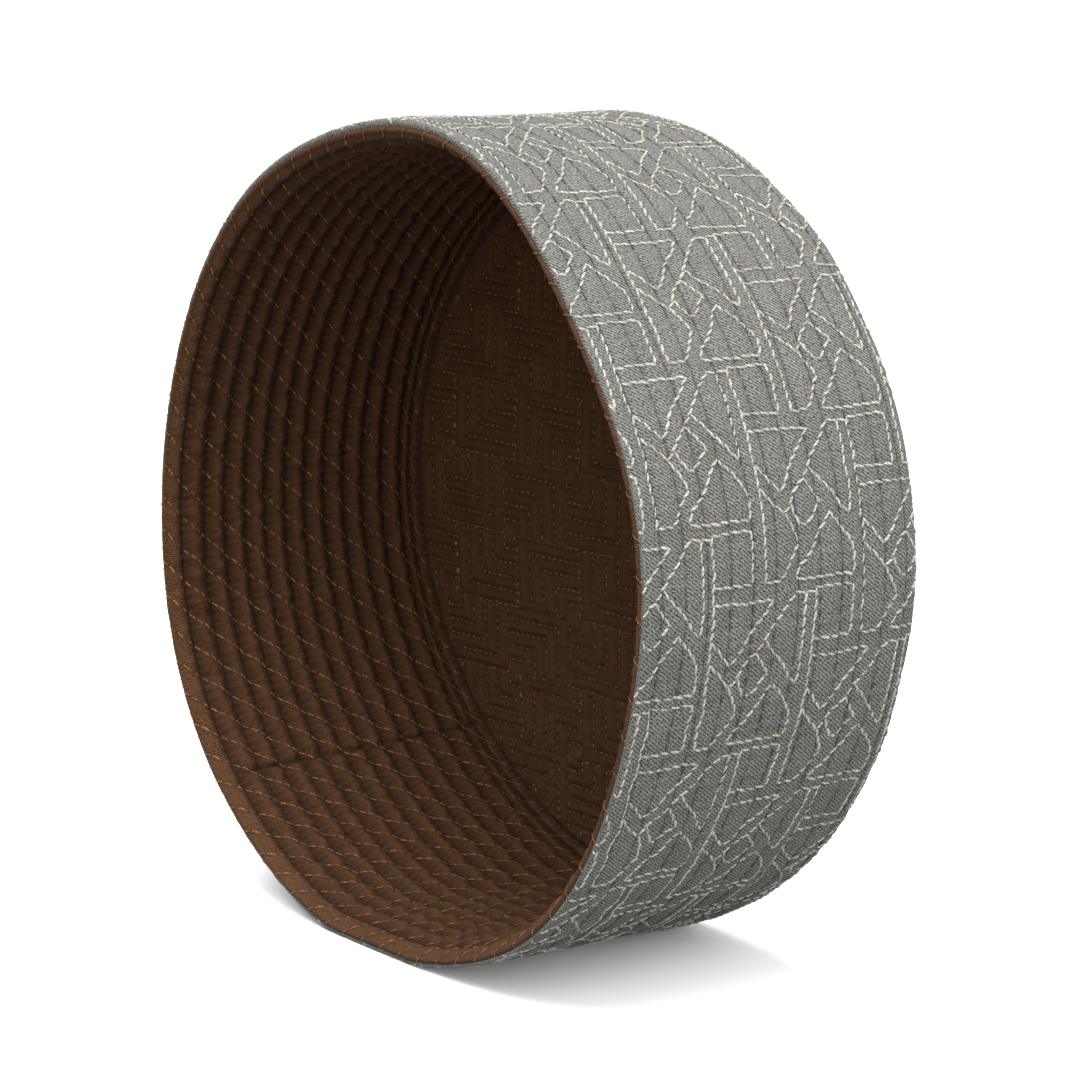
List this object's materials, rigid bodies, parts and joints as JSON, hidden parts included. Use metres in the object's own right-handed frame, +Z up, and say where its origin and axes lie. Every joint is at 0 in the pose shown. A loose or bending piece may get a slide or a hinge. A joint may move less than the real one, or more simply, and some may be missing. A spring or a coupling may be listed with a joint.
{
  "type": "prayer cap",
  "caption": "Stiff round prayer cap of quilted, embroidered cloth with a ribbed lining, a flat crown and a bound edge, lying on its side.",
  "frame": {"origin": "on the floor under the middle of the cap's box, as it lies on its side", "axes": "+Z up, +Y from the opening towards the crown, +X across"},
  "size_m": [0.1924, 0.0734, 0.1811],
  "materials": {
    "grey_twill": "matte twill with cream embroidery",
    "brown_lining": "matte quilted cloth with ochre stitching",
    "brown_binding": "satin bound edge with ochre overcast stitches"
  },
  "bodies": {
    "root": {"band_shell": "grey_twill", "crown_top": "grey_twill", "band_lining": "brown_lining", "crown_lining": "brown_lining", "rim_binding": "brown_binding"}
  },
  "joints": []
}
